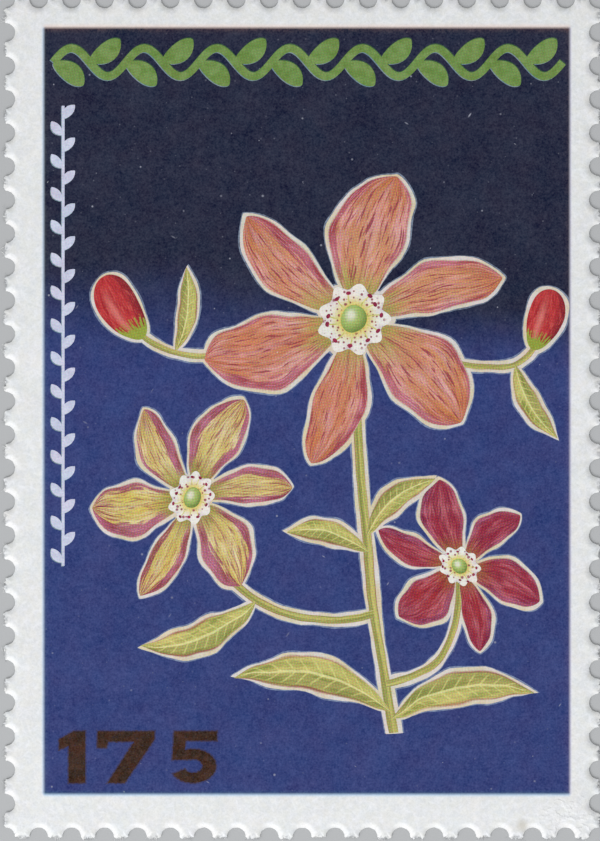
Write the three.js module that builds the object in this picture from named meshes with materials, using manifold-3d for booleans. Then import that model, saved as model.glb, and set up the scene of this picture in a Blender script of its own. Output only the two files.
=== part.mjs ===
// A perforated postage stamp lying flat, face up: a paper sheet, the gum on its back and the inks on its face.
// Millimetres, +Z up. The origin is the middle of the gummed underside, and +Y is the top of the stamp.
import * as THREE from "three";
import { mergeVertices } from "three/addons/utils/BufferGeometryUtils.js";
import Module from "manifold-3d";

// Perforation: a gauge is the number of holes in 20 mm
const GAUGE_SPAN = 20;
const PITCH_X = GAUGE_SPAN / 14.25;
const PITCH_Y = GAUGE_SPAN / 14;
const PITCHES_X = 18;
const PITCHES_Y = 25;
const HOLE_RADIUS = 0.4;
const HOLE_STEPS = 4;
const TEAR_REACH = 0.12;
const TEAR_SHARES = [0.15, 0.5, 0.85];

// Sheet, from hole line to hole line, and the levels of its layers from the back to the face
const WIDTH = PITCHES_X * PITCH_X;
const HEIGHT = PITCHES_Y * PITCH_Y;
const INK_THICK = 0.005;
const PAPER_Z = 0.012;
const GROUND_Z = 0.105;
const RIM_Z = GROUND_Z + INK_THICK;
const GREEN_Z = RIM_Z + INK_THICK;
const PETAL_Z = GREEN_Z + INK_THICK;
const EYE_Z = PETAL_Z + INK_THICK;
const KNOB_Z = EYE_Z + INK_THICK;

// Printed panel, a little off centre to the right and towards the top
const PANEL = { x: 0.2, y: 0.3, width: 22.42, height: 32.66 };

// Spray of blossoms with a pale rim all round it. Broad and narrow petals take turns round each blossom
const RIM = 0.2;
const PETAL_FORM = { root: 0.75, tip: 2.4, round: 0.8, wave: 0.05, waves: 2.5, steps: 11 };
const PETAL = { count: 6, start: 0.08, broad: 0.25, narrow: 0.17, bend: 0.07 };
const EYE = { share: 0.22, lobes: 9, depth: 0.1, steps: 36 };
const KNOB = { share: 0.09, lobes: 0, depth: 0, steps: 16 };
const BLOSSOMS = [
  { name: "upper", ink: "orange_ink", at: [2.2, 4.2], radius: 6.6, turn: 75, squash: 0.95, lean: 20 },
  { name: "left", ink: "yellow_ink", at: [-4.7, -3.4], radius: 4.7, turn: 62, squash: 0.88, lean: 60 },
  { name: "right", ink: "crimson_ink", at: [6.7, -6.3], radius: 3.9, turn: 100, squash: 0.86, lean: -50 },
];
const STEM_STEPS = 8;
const STEMS = [
  { from: [3.9, -13.4], by: [2.4, -5.5], to: [2.2, 4.2], half: 0.2 },
  { from: [3.1, -8.4], by: [-3.2, -9.6], to: [-4.7, -3.4], half: 0.16 },
  { from: [3.55, -11.3], by: [7.0, -11.0], to: [6.7, -6.3], half: 0.15 },
  { from: [2.1, 4.2], by: [-4.6, 1.4], to: [-6.9, 3.6], half: 0.12 },
  { from: [2.3, 4.2], by: [8.4, 0.8], to: [9.9, 3.0], half: 0.12 },
];
const LEAF_FORM = { root: 0.8, tip: 1.7, round: 1, wave: 0.05, waves: 3, steps: 10 };
const LEAVES = [
  { from: [3.75, -12.5], angle: 168, length: 6.8, half: 0.75, bend: -0.9 },
  { from: [3.8, -12.8], angle: 10, length: 6.2, half: 0.7, bend: 0.8 },
  { from: [2.8, -5.7], angle: 166, length: 3.6, half: 0.5, bend: -0.4 },
  { from: [2.72, -5.0], angle: 40, length: 3.8, half: 0.5, bend: 0.4 },
  { from: [-2.0, -7.8], angle: 202, length: 5.2, half: 0.65, bend: 0.6 },
  { from: [-5.4, 2.85], angle: 82, length: 3.6, half: 0.42, bend: -0.3 },
  { from: [9.05, 2.3], angle: -60, length: 3.6, half: 0.42, bend: -0.3 },
];
const BUD_FORM = { root: 0.45, tip: 2.6, round: 0.5, wave: 0, waves: 0, steps: 10 };
const BUDS = [
  { name: "left", from: [-6.8, 3.4], angle: 122, length: 3.1, half: 0.85, bend: 0.15 },
  { name: "right", from: [9.85, 2.9], angle: 72, length: 2.7, half: 0.75, bend: -0.1 },
];

// Ornament: a running vine along the top, a fine one up the left side, and a plain number
const VINE_LEAF_FORM = { root: 0.6, tip: 2, round: 0.7, wave: 0, waves: 0, steps: 5 };
const TOP_VINE = { x: 0.25, y: 15.15, length: 21.7, height: 0.6, waves: 7, half: 0.17, steps: 8 };
const TOP_LEAF = { angle: 36, length: 1.6, half: 0.42, bend: 0.12 };
const FINE_LEAF_FORM = { root: 0.8, tip: 1.6, round: 0.9, wave: 0, waves: 0, steps: 3 };
const SIDE_VINE = { x: -10.18, y: 3.5, length: 19.6, half: 0.06, leaves: 28 };
const SIDE_LEAF = { angle: 40, length: 0.78, half: 0.2, bend: 0.04 };

// Digits, in a box 2.2 mm high and then stretched sideways
const DIGIT_HEIGHT = 2.2;
const DIGIT_STRETCH = 1.35;
const DIGIT_Y = -15.55;
const DIGIT_X = { one: -10.35, seven: -8.72, five: -5.72 };
const BOWL = { x: 0.8, y: 0.72, out: 0.72, in: 0.3, start: 112, end: -152, steps: 20 };

const wasm = await Module();
wasm.setup();

// Seeded draw from 0 to 1, the same on every run
let seed = 20;
function draw() {
  seed = (seed * 16807) % 2147483647;
  return seed / 2147483647;
}

function solidOf(geometry) {
  geometry.deleteAttribute("normal");
  geometry.deleteAttribute("uv");
  const merged = mergeVertices(geometry, 1e-5);
  const vertProperties = merged.attributes.position.array;
  const triVerts = new Uint32Array(merged.index.array);
  return new wasm.Manifold(new wasm.Mesh({ numProp: 3, vertProperties, triVerts }));
}

function geometryOf(solid) {
  const { vertProperties, triVerts } = solid.getMesh();
  const geometry = new THREE.BufferGeometry();
  geometry.setAttribute("position", new THREE.BufferAttribute(vertProperties, 3));
  geometry.setIndex(new THREE.BufferAttribute(triVerts, 1));
  geometry.computeVertexNormals();
  return geometry;
}

function slab(width, height, bottom, top) {
  return new THREE.BoxGeometry(width, height, top - bottom).translate(0, 0, (bottom + top) / 2);
}

function prism(shape, bottom, top) {
  const options = { depth: top - bottom, bevelEnabled: false, curveSegments: HOLE_STEPS };
  return new THREE.ExtrudeGeometry(shape, options).translate(0, 0, bottom);
}

// One flat film from outlines that overlap: their prisms, no two alike in height, are joined and cut to a slab
function film(outlines, bottom, top) {
  const prisms = outlines.map((points, i) => solidOf(prism(new THREE.Shape(points), -1 - 0.1 * i, 1 + 0.1 * i)));
  const joined = prisms.reduce((whole, next) => whole.add(next));
  return joined.intersect(solidOf(slab(2 * WIDTH, 2 * HEIGHT, bottom, top)));
}

function unit(degrees) {
  return new THREE.Vector2(1, 0).rotateAround(new THREE.Vector2(), THREE.MathUtils.degToRad(degrees));
}

// Half width of a petal or leaf at u from 0 at its root to 1 at its tip: u^root (1 - u^tip)^round, at most 1
function profile(u, form) {
  const curve = (t) => t ** form.root * (1 - t ** form.tip) ** form.round;
  const widest = (form.root / (form.root + form.tip * form.round)) ** (1 / form.tip);
  return (curve(u) / curve(widest)) * (1 + form.wave * Math.sin(2 * Math.PI * form.waves * u));
}

// Outline of a petal, leaf or bud, its middle line bent sideways, grown by a margin all round
function blade(spec, form, grow = 0) {
  const along = unit(spec.angle);
  const side = new THREE.Vector2(-along.y, along.x);
  return Array.from({ length: 2 * form.steps }, (_, i) => {
    const u = (1 - Math.cos((Math.PI * i) / form.steps)) / 2;
    const half = (i < form.steps ? -1 : 1) * (spec.half + grow) * profile(u, form);
    return new THREE.Vector2(...spec.from)
      .addScaledVector(along, u * (spec.length + 2 * grow) - grow)
      .addScaledVector(side, 4 * u * (1 - u) * spec.bend + half);
  });
}

// Outline of a band of even width along a line, which is a function of t from 0 to 1
function band(line, half, steps) {
  const edge = (t, out) => {
    const [here, before, after] = [line(t), line(t - 1e-3), line(t + 1e-3)];
    const tangent = after.sub(before).normalize();
    return here.add(new THREE.Vector2(-tangent.y, tangent.x).multiplyScalar(out));
  };
  const shares = Array.from({ length: steps + 1 }, (_, i) => i / steps);
  return [...shares.map((t) => edge(t, -half)), ...shares.reverse().map((t) => edge(t, half))];
}

function stem(spec, grow) {
  const [from, by, to] = [spec.from, spec.by, spec.to].map((point) => new THREE.Vector2(...point));
  const line = (t) => new THREE.QuadraticBezierCurve(from, by, to).getPoint(t);
  return band(line, spec.half + grow, STEM_STEPS);
}

function greens(grow = 0) {
  return [...STEMS.map((spec) => stem(spec, grow)), ...LEAVES.map((spec) => blade(spec, LEAF_FORM, grow))];
}

// Moves an outline drawn round the origin to its blossom, which is seen a little from the side
function placed(points, blossom) {
  const lean = THREE.MathUtils.degToRad(blossom.lean);
  const middle = new THREE.Vector2();
  return points.map((point) => {
    const turned = point.clone().rotateAround(middle, -lean);
    turned.y *= blossom.squash;
    return turned.rotateAround(middle, lean).add(new THREE.Vector2(...blossom.at));
  });
}

// A round patch at a blossom's middle, with a lobed edge
function disc(blossom, form, grow = 0) {
  const points = Array.from({ length: form.steps }, (_, i) => {
    const turn = (360 * i) / form.steps;
    const lobe = 1 + form.depth * Math.cos(THREE.MathUtils.degToRad(form.lobes * turn));
    return unit(turn).multiplyScalar((blossom.radius * form.share + grow) * lobe);
  });
  return placed(points, blossom);
}

function petals(blossom, grow = 0) {
  const outlines = Array.from({ length: PETAL.count }, (_, i) => {
    const angle = blossom.turn + (360 / PETAL.count) * i;
    const from = unit(angle).multiplyScalar(PETAL.start * blossom.radius).toArray();
    const length = (1 - PETAL.start) * blossom.radius;
    const half = (i % 2 ? PETAL.narrow : PETAL.broad) * blossom.radius;
    const bend = PETAL.bend * blossom.radius;
    return placed(blade({ from, angle, length, half, bend }, PETAL_FORM, grow), blossom);
  });
  return [...outlines, disc(blossom, EYE, grow)];
}

// Outline of the sheet: half a hole at every pitch along each side, a quarter at each corner, torn tips between
function perforatedOutline() {
  const outline = new THREE.Shape();
  const sides = [
    { corner: [-WIDTH / 2, -HEIGHT / 2], along: [1, 0], count: PITCHES_X, pitch: PITCH_X },
    { corner: [WIDTH / 2, -HEIGHT / 2], along: [0, 1], count: PITCHES_Y, pitch: PITCH_Y },
    { corner: [WIDTH / 2, HEIGHT / 2], along: [-1, 0], count: PITCHES_X, pitch: PITCH_X },
    { corner: [-WIDTH / 2, HEIGHT / 2], along: [0, -1], count: PITCHES_Y, pitch: PITCH_Y },
  ];
  sides.forEach(({ corner, along, count, pitch }) => {
    const heading = Math.atan2(along[1], along[0]);
    const place = (run, out) => [
      corner[0] + along[0] * run + along[1] * out,
      corner[1] + along[1] * run - along[0] * out,
    ];
    for (let hole = 0; hole < count; hole++) {
      const start = heading + (hole === 0 ? Math.PI / 2 : Math.PI);
      outline.absarc(...place(hole * pitch, 0), HOLE_RADIUS, start, heading, true);
      const tooth = pitch - 2 * HOLE_RADIUS;
      for (const share of TEAR_SHARES) {
        outline.lineTo(...place(hole * pitch + HOLE_RADIUS + share * tooth, TEAR_REACH * draw()));
      }
    }
  });
  return outline;
}

// Running vine: a wave with a leaf in every hollow
function topVine() {
  const { x, y, length, height, waves, half, steps } = TOP_VINE;
  const line = (t) => new THREE.Vector2(x + (t - 0.5) * length, y + height * Math.sin(2 * Math.PI * waves * t));
  const leaves = Array.from({ length: 2 * waves }, (_, i) => {
    const up = i % 2 ? 1 : -1;
    const from = [x + (i / (2 * waves) - 0.5) * length, y + up * 0.03];
    return blade({ ...TOP_LEAF, from, angle: up * TOP_LEAF.angle, bend: -up * TOP_LEAF.bend }, VINE_LEAF_FORM);
  });
  return [band(line, half, steps * waves), ...leaves];
}

// Straight fine stem with leaves that point up, to the left and right in turn
function sideVine() {
  const { x, y, length, half, leaves } = SIDE_VINE;
  const low = y - length / 2;
  const line = (t) => new THREE.Vector2(x, low + t * length);
  const blades = Array.from({ length: leaves }, (_, i) => {
    const angle = 90 + (i % 2 ? -1 : 1) * SIDE_LEAF.angle;
    return blade({ ...SIDE_LEAF, from: [x, low + (i + 0.2) * (length / leaves)], angle }, FINE_LEAF_FORM);
  });
  return [band(line, half, 1), ...blades];
}

function one() {
  return [[0, 1.42], [0.3, 1.58], [0.3, 0], [0.82, 0], [0.82, DIGIT_HEIGHT], [0.46, DIGIT_HEIGHT], [0, 1.86]];
}

function seven() {
  const leg = [[0, 1.5], [0.28, 1.5], [0.34, 1.76], [1.16, 1.76], [0.32, 0], [0.86, 0], [1.8, 1.86]];
  return [[0, DIGIT_HEIGHT], ...leg, [1.8, DIGIT_HEIGHT]];
}

function five() {
  const arc = (radius, from, to) =>
    Array.from({ length: BOWL.steps + 1 }, (_, i) => {
      const point = unit(from + ((to - from) * i) / BOWL.steps).multiplyScalar(radius);
      return [BOWL.x + point.x, BOWL.y + point.y];
    });
  const bar = [[0.14, 0.98], [0.2, DIGIT_HEIGHT], [1.55, DIGIT_HEIGHT], [1.55, 1.8], [0.56, 1.8]];
  return [...bar, ...arc(BOWL.out, BOWL.start, BOWL.end), ...arc(BOWL.in, BOWL.end, BOWL.start)];
}

function stretched(outline, x) {
  return outline.map((point) => new THREE.Vector2(x + DIGIT_STRETCH * point[0], DIGIT_Y + point[1]));
}

// Colours are sRGB
const FINISHES = {
  paper: { color: "#e7e8e9", roughness: 0.75 },
  gum: { color: "#e6dfc8", roughness: 0.35 },
  ground_ink: { color: "#36407a", roughness: 0.5 },
  rim_ink: { color: "#e6dfc6", roughness: 0.5 },
  green_ink: { color: "#7fa53c", roughness: 0.5 },
  orange_ink: { color: "#cf7a3e", roughness: 0.5 },
  yellow_ink: { color: "#c9b64c", roughness: 0.5 },
  crimson_ink: { color: "#a8333a", roughness: 0.5 },
  pale_ink: { color: "#e9ead8", roughness: 0.5 },
  brown_ink: { color: "#5c3a24", roughness: 0.5 },
};

const stamp = new THREE.Group();

function addPiece(name, finish, geometry) {
  const material = new THREE.MeshStandardMaterial({ ...FINISHES[finish], metalness: 0 });
  const mesh = new THREE.Mesh(geometry, material);
  mesh.name = name;
  stamp.add(mesh);
}

function addFilm(name, finish, outlines, bottom) {
  addPiece(name, finish, geometryOf(film(outlines, bottom, bottom + INK_THICK)));
}

const sheet = perforatedOutline();
addPiece("gum_layer", "gum", prism(sheet, 0, PAPER_Z));
addPiece("paper_sheet", "paper", prism(sheet, PAPER_Z, GROUND_Z));
addPiece("ink_ground", "ground_ink", slab(PANEL.width, PANEL.height, GROUND_Z, RIM_Z).translate(PANEL.x, PANEL.y, 0));

addFilm("ink_top_vine", "green_ink", topVine(), RIM_Z);
addFilm("ink_side_vine", "pale_ink", sideVine(), RIM_Z);
addFilm("ink_digit_one", "brown_ink", [stretched(one(), DIGIT_X.one)], RIM_Z);
addFilm("ink_digit_seven", "brown_ink", [stretched(seven(), DIGIT_X.seven)], RIM_Z);
addFilm("ink_digit_five", "brown_ink", [stretched(five(), DIGIT_X.five)], RIM_Z);

const rims = [...greens(RIM), ...BLOSSOMS.flatMap((blossom) => petals(blossom, RIM))];
rims.push(...BUDS.map((spec) => blade(spec, BUD_FORM, RIM)));
addFilm("ink_spray_rim", "rim_ink", rims, RIM_Z);
addFilm("ink_stems_and_leaves", "green_ink", greens(), GREEN_Z);

// Petals and buds are printed over the greens, so their film is cut away where those are
const overprinted = film(greens(), 0, PETAL_Z);
function addOverprint(name, finish, outlines) {
  addPiece(name, finish, geometryOf(film(outlines, GREEN_Z, EYE_Z).subtract(overprinted)));
}
for (const blossom of BLOSSOMS) {
  addOverprint(`ink_petals_${blossom.name}`, blossom.ink, petals(blossom));
  addFilm(`ink_eye_${blossom.name}`, "pale_ink", [disc(blossom, EYE)], EYE_Z);
  addFilm(`ink_knob_${blossom.name}`, "green_ink", [disc(blossom, KNOB)], KNOB_Z);
}
for (const spec of BUDS) {
  addOverprint(`ink_bud_${spec.name}`, "crimson_ink", [blade(spec, BUD_FORM)]);
}

export default stamp;
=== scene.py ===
"""A perforated postage stamp lying flat and face up on its gum, seen from straight above."""
import math
from collections import namedtuple

import bmesh
import bpy
import numpy as np
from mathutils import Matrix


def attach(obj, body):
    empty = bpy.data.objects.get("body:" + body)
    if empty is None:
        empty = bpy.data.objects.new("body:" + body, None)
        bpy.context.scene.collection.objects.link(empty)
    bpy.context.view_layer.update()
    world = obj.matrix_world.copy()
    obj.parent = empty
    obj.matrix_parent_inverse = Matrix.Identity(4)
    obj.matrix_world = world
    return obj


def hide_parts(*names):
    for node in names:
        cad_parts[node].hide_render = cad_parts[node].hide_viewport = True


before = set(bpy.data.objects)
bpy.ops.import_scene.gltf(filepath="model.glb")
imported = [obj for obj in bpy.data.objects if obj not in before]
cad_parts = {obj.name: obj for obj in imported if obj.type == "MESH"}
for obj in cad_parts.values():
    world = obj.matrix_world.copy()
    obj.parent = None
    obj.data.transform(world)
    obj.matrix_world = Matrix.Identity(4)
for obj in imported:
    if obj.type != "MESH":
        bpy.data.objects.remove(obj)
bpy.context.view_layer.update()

# Sizes are in millimetres, as in the stamp's solids, and become metres where a mesh is made
MM = 0.001

# Perforation and sheet, from hole line to hole line
GAUGE_SPAN = 20
PITCH_X = GAUGE_SPAN / 14.25
PITCH_Y = GAUGE_SPAN / 14
PITCHES_X = 18
PITCHES_Y = 25
WIDTH = PITCHES_X * PITCH_X
HEIGHT = PITCHES_Y * PITCH_Y
HOLE_RADIUS = 0.4
TEAR_REACH = 0.12
TEAR_SHARES = (0.15, 0.5, 0.85)
TEAR_SEED = 20
TEAR_FACTOR = 16807
TEAR_DIVISOR = 2147483647

# Levels of the layers, from the back to the face
INK_THICK = 0.005
PAPER_Z = 0.012
GROUND_Z = 0.105
RIM_Z = GROUND_Z + INK_THICK
GREEN_Z = RIM_Z + INK_THICK
EYE_Z = GREEN_Z + 2 * INK_THICK
TOP_Z = EYE_Z + 2 * INK_THICK

# Heights of the fine films, a step apart where they overlap
STEP_Z = 0.0001
FILM_LOW = GROUND_Z + 0.0045
PALE_TOP = RIM_Z + 0.0002
DARK_TOP = RIM_Z + 0.001
FRINGE_TOP = RIM_Z + 0.0024
VINE_TOP = RIM_Z + 0.003
RIM_TOP = RIM_Z + 0.0046
GREEN_LOW = RIM_Z + 0.004
STEM_TOP = GREEN_Z + 0.003
LEAF_TOP = GREEN_Z + 0.004
PETAL_TOP = EYE_Z - 0.001
THREAD_TOP = EYE_Z + 0.0056
ANTHER_TOP = EYE_Z + 0.0062

# Printed panel
PANEL_X = 0.2
PANEL_Y = 0.3
PANEL_WIDTH = 22.42
PANEL_HEIGHT = 32.66
PANEL_LEFT = PANEL_X - PANEL_WIDTH / 2
PANEL_RIGHT = PANEL_X + PANEL_WIDTH / 2
PANEL_BOTTOM = PANEL_Y - PANEL_HEIGHT / 2
PANEL_TOP = PANEL_Y + PANEL_HEIGHT / 2
PANEL_GAP = 0.03
INK_SPREAD = 0.085
SCREEN_PITCH = 0.12

# Fine outline of the sheet: points on a hole's arc and on a torn line, and how its edge is worn
ARC_POINTS = 16
TEAR_POINTS = 12
TEAR_ROUGH = 0.026
HOLE_ROUGH = 0.005
EDGE_SEED = 5
EDGE_INSETS = (0.36, 0.31, 0.265, 0.225, 0.19, 0.155, 0.12, 0.09, 0.062, 0.038, 0.018, 0.006, 0.0)
EDGE_FADE = 0.06
EDGE_REACH = 0.27
EDGE_ROUND = 0.12
EDGE_LOW = 0.012
TORN_LIFT = 0.018
# The edges are rolled over most towards this direction, in degrees: towards the lamp, where the paper also
# takes a painted highlight
ROLL_TOWARDS = -110
ROLL_LEAST = 0.35
PUNCH_DROP = 0.046
TEAR_DROP = 0.055
TEAR_DULL = 0.7
ROLL_INSET = 0.1
FIELD_INSET = 1.12
FIELD_RINGS = (0.3, 0.7, 1)
MARGIN_RINGS = 14
GUM_INSET = 0.015
GUM_ROUND = 0.02
GUM_EDGE = 0.004
GUM_ROUGH = 0.6

# Slow waves of the sheet, and creases pressed into its margin as arcs: middle, radius, ends, height and width
WAVE_HEIGHT = 0.0012
WAVE_STEEPS = ((1.9, 0.7), (-0.4, 1.3))
CREASE_FADE = 14
CREASE_WANDERS = ((0.035, 4.1), (0.02, 1.7))
Crease = namedtuple("Crease", "x y radius start end height width")
CREASES = (
    Crease(12.9, -19.1, 2.75, 95, 150, -0.012, 0.06),
    Crease(12.9, -19.1, 2.45, 100, 165, 0.009, 0.05),
    Crease(10.6, -15.3, 2.1, -75, -30, -0.013, 0.05),
    Crease(10.9, -15.5, 2.2, -80, -35, 0.008, 0.05),
    Crease(11.5, -19.5, 2.6, 70, 115, -0.009, 0.045),
    Crease(9.2, -19.6, 2.5, 60, 100, -0.006, 0.06),
    Crease(-13.4, 15.9, 1.5, -50, 10, -0.006, 0.05),
)
CRUMPLED_AT = (11.3, -17.2)
CRUMPLED_REACH = 2.0
SMUDGE_AT = (9.4, -17.35)

# Loose fibres at the torn edge, whose sway off the outline's normal and curl are in radians
FIBRES = 900
FIBRE_SEED = 11
FIBRE_INSET = 0.03
FIBRE_LEAST_TORN = 0.2
FIBRE_SWAY = 0.8
FIBRE_CURL = 1.4
FIBRE_CLIMB = 0.012
FIBRE_TAPER = 0.6
FIBRE_POINTS = 7
FIBRE_SIDES = 4
FIBRE_LOWEST = 0.014
FIBRE_LEVELS = (0.03, 0.075)
FIBRE_WIDTHS = (0.004, 0.011)
FIBRE_SHORTEST = 0.07
FIBRE_LONGER = 0.06
FIBRE_LONGEST_MORE = 0.28

# Edges drawn by hand: lengths of the waves that bend them, and the reach and seed of each ink's own waves
WOBBLE_LENGTHS = (3.1, 1.9, 1.2, 0.75)
DRAWN = ((0.06, 3),)
RIMMED = (*DRAWN, (0.065, 4))
FRINGED = (*RIMMED, (0.035, 6))

# Spray of blossoms, with the same values as its solids
RIM_SHOWN = 0.135
FRINGE = 0.055
Form = namedtuple("Form", "root tip round wave waves")
PETAL_FORM = Form(0.75, 2.4, 0.8, 0.05, 2.5)
LEAF_FORM = Form(0.8, 1.7, 1, 0.05, 3)
BUD_FORM = Form(0.45, 2.6, 0.5, 0, 0)
VINE_LEAF_FORM = Form(0.6, 2, 0.7, 0, 0)
FINE_LEAF_FORM = Form(0.8, 1.6, 0.9, 0, 0)
THREAD_FORM = Form(0.01, 40, 0.3, 0, 0)
ANTHER_FORM = Form(0.5, 1, 0.5, 0, 0)

PETALS = 6
PETAL_START = 0.08
PETAL_BROAD = 0.25
PETAL_NARROW = 0.17
PETAL_BEND = 0.07
EYE_SHARE = 0.22
EYE_LOBES = 9
EYE_DEPTH = 0.1
KNOB_SHARE = 0.09
# Stamens, in shares of the eye's reach and in degrees
STAMENS = 11
STAMEN_START = 0.4
STAMEN_SWAY = 0.3
THREAD_LENGTHS = (0.36, 0.5)
THREAD_HALF = 0.02
THREAD_BEND = 0.03
ANTHER_LENGTH = 0.16
ANTHER_HALF = 0.055
ANTHER_TURN = 80

Blossom = namedtuple("Blossom", "name slot at radius turn squash lean")
BLOSSOMS = (
    Blossom("upper", "orange_ink", (2.2, 4.2), 6.6, 75, 0.95, 20),
    Blossom("left", "yellow_ink", (-4.7, -3.4), 4.7, 62, 0.88, 60),
    Blossom("right", "crimson_ink", (6.7, -6.3), 3.9, 100, 0.86, -50),
)
Stem = namedtuple("Stem", "start by end half")
STEMS = (
    Stem((3.9, -13.4), (2.4, -5.5), (2.2, 4.2), 0.2),
    Stem((3.1, -8.4), (-3.2, -9.6), (-4.7, -3.4), 0.16),
    Stem((3.55, -11.3), (7.0, -11.0), (6.7, -6.3), 0.15),
    Stem((2.1, 4.2), (-4.6, 1.4), (-6.9, 3.6), 0.12),
    Stem((2.3, 4.2), (8.4, 0.8), (9.9, 3.0), 0.12),
)
Blade = namedtuple("Blade", "start angle length half bend")
LEAVES = (
    Blade((3.75, -12.5), 168, 6.8, 0.75, -0.9),
    Blade((3.8, -12.8), 10, 6.2, 0.7, 0.8),
    Blade((2.8, -5.7), 166, 3.6, 0.5, -0.4),
    Blade((2.72, -5.0), 40, 3.8, 0.5, 0.4),
    Blade((-2.0, -7.8), 202, 5.2, 0.65, 0.6),
    Blade((-5.4, 2.85), 82, 3.6, 0.42, -0.3),
    Blade((9.05, 2.3), -60, 3.6, 0.42, -0.3),
)
BUDS = {
    "left": Blade((-6.8, 3.4), 122, 3.1, 0.85, 0.15),
    "right": Blade((9.85, 2.9), 72, 2.7, 0.75, -0.1),
}

# Ornament: the running vine along the top and the fine one up the left side, each with a leaf as a pattern
TOP_VINE_AT = (0.25, 15.15)
TOP_VINE_LENGTH = 21.7
TOP_VINE_HEIGHT = 0.6
TOP_VINE_WAVES = 7
TOP_VINE_HALF = 0.17
TOP_LEAF = Blade((0, 0), 36, 1.6, 0.42, -0.12)
TOP_LEAF_LIFT = 0.03
SIDE_VINE_AT = (-10.18, 3.5)
SIDE_VINE_LENGTH = 19.6
SIDE_VINE_HALF = 0.06
SIDE_LEAVES = 28
SIDE_LEAF = Blade((0, 0), 40, 0.78, 0.2, 0.04)
SIDE_LEAF_LEAD = 0.2
# How far the first and the last ink of the ornament missed their place
PALE_SHIFT = (-0.03, -0.03)
DARK_SHIFT = (0.012, 0.04)

# Number, with the same values as its solids, and the soft edge round it
DIGIT_HEIGHT = 2.2
DIGIT_STRETCH = 1.35
DIGIT_Y = -15.55
DIGIT_X = {"one": -10.35, "seven": -8.72, "five": -5.72}
DIGIT_FRINGE = 0.055
BOWL_AT = (0.8, 0.72)
BOWL_OUT = 0.72
BOWL_IN = 0.3
BOWL_START = 112
BOWL_END = -152
BOWL_POINTS = 33

# Grids of the fine films: rows along a piece and columns across it
BLADE_ROWS = 41
BLADE_COLUMNS = 9
VINE_LEAF_ROWS = 17
FINE_LEAF_ROWS = 9
STAMEN_ROWS = 9
STEM_ROWS = 41
WAVE_ROWS = 24
SIDE_VINE_ROWS = 29
DISC_POINTS = 144
DISC_FACE = (0.25, 0.5, 0.75, 0.9, 1)
DISC_BACK = (1, 0.5)
BLUNT = 0.0015
TANGENT_STEP = 1e-4
WELD_REACH = 0.00002
SHARP_ANGLE = 50

# Camera: a long lens straight above, whose frame is the photograph's part of the stamp
FRAME_X = -0.09
FRAME_Y = -0.11
FRAME_HEIGHT = 35.83
LENS = 150
SENSOR = 36

# Light: an even pale room and one soft lamp beyond the stamp's lower edge, over a floor just below it
FLOOR_SIZE = 800
FLOOR_DROP = 0.01
ROOM_STRENGTH = 0.62
LAMP_AT = (-110, -200, 170)
LAMP_SIZE = 170
LAMP_POWER = 0.5

# Node sockets by number, where Blender finds them so only or a node is given as the list of its outputs
MIX_FACTOR = 0
MIX_FIRST = 6
MIX_SECOND = 7
MIX_RESULT = 2
OBJECT_PLACE = 3
ATTRIBUTE_NUMBER = 2

Shell = namedtuple("Shell", "points faces shape number")


# Shapes


def along(degrees):
    """Unit vectors in the plane at angles from +X."""
    turn = np.radians(degrees)
    return np.stack([np.cos(turn), np.sin(turn)], axis=-1)


def leftward(vectors):
    """Vectors in the plane turned a quarter to the left."""
    return np.stack([-vectors[..., 1], vectors[..., 0]], axis=-1)


def unit(vectors):
    """Vectors brought to a length of 1."""
    return vectors / np.linalg.norm(vectors, axis=-1, keepdims=True)


def set_height(plan, height):
    """Plan points with a height, or an array of heights, as their third coordinate."""
    level = np.broadcast_to(np.expand_dims(height, -1), (*plan.shape[:-1], 1))
    return np.concatenate([plan, level], axis=-1)


def even_shares(rows):
    return np.linspace(0, 1, rows)


def row_shares(rows):
    """Shares closer together towards both ends: (1 - cos(pi i / n)) / 2, a hair short of 0 and 1."""
    shares = (1 - np.cos(np.pi * even_shares(rows))) / 2
    return np.clip(shares, BLUNT, 1 - BLUNT)


def hand_drawn(plan, sways):
    """Plan points moved by smooth fields, each with a reach and a seed, so that edges look drawn by hand.

    A field is a sum of sine waves that run in any direction, each as high as it is long.
    """
    for reach, seed in sways:
        rng = np.random.default_rng(seed)
        field = np.zeros_like(plan)
        for length in WOBBLE_LENGTHS:
            wave = plan @ along(rng.uniform(0, 360)) * (2 * np.pi / length)
            field = field + length * np.sin(wave[..., None] + rng.uniform(0, 2 * np.pi, 2))
        plan = plan + reach * field / sum(WOBBLE_LENGTHS)
    return plan


def repeated(faces, count, size):
    """The faces of one part, of size points, for each of count such parts in a row."""
    return (faces[None] + size * np.arange(count)[:, None, None]).reshape(-1, 4)


def closed_rings(rings, top, bottom, shape, number):
    """A closed surface from rings (rings, points, 3), each joined to the next, with a fan at each end.

    The rings go from the top's innermost outwards, over the edge and back in underneath.
    """
    count, around = rings.shape[:2]
    ring, step = np.meshgrid(np.arange(count - 1), np.arange(around), indexing="ij")
    here = ring * around + step
    ahead = ring * around + (step + 1) % around
    quads = np.stack([here, here + around, ahead + around, ahead], axis=-1).reshape(-1, 4)
    first = np.arange(around)
    last = first + (count - 1) * around
    upper = np.stack([np.full(around, count * around), first, np.roll(first, -1)], axis=-1)
    lower = np.stack([np.full(around, count * around + 1), np.roll(last, -1), last], axis=-1)
    points = np.concatenate([rings.reshape(-1, 3), [top], [bottom]])
    return Shell(points, [quads, upper, lower], shape, number)


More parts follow.
